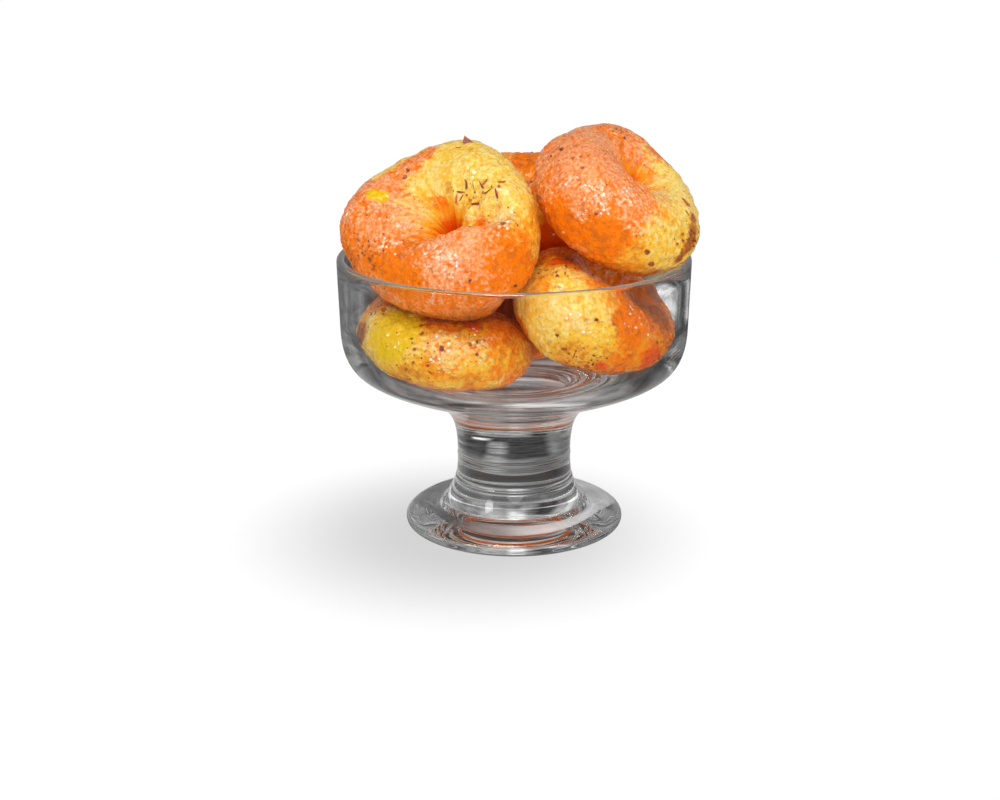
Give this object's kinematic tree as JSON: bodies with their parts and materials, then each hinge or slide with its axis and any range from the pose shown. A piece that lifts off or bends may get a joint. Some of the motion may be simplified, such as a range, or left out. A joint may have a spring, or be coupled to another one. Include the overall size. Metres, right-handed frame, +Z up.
{
  "type": "dessert dish of freeze-dried gummy rings",
  "caption": "Footed clear glass dessert dish heaped with puffed freeze-dried gummy candy rings in orange and yellow, dusted with chilli flakes.",
  "frame": {"origin": "centre of the dish's foot on the surface it stands on", "axes": "+Z up along the dish's axis, -Y towards the front of the dish, +X to the right seen from the front"},
  "size_m": [0.0963, 0.0966, 0.1101],
  "materials": {
    "glass": "clear, polished, thick moulded glass",
    "candy_left": "frosted bubbly sugar crust, half salmon orange and half pale yellow",
    "candy_right": "frosted bubbly sugar crust, salmon pink with one yellow side",
    "candy_back": "frosted bubbly sugar crust, orange",
    "candy_low_left": "frosted bubbly sugar crust, yellow green to creamy orange",
    "candy_low_right": "frosted bubbly sugar crust, yellow with an orange pink side",
    "candy_low_back": "frosted bubbly sugar crust, dark orange"
  },
  "bodies": {
    "root": {"glass_dish": "glass", "ring_top_left": "candy_left", "ring_top_right": "candy_right", "ring_top_back": "candy_back", "ring_low_left": "candy_low_left", "ring_low_right": "candy_low_right", "ring_low_back": "candy_low_back"}
  },
  "joints": []
}
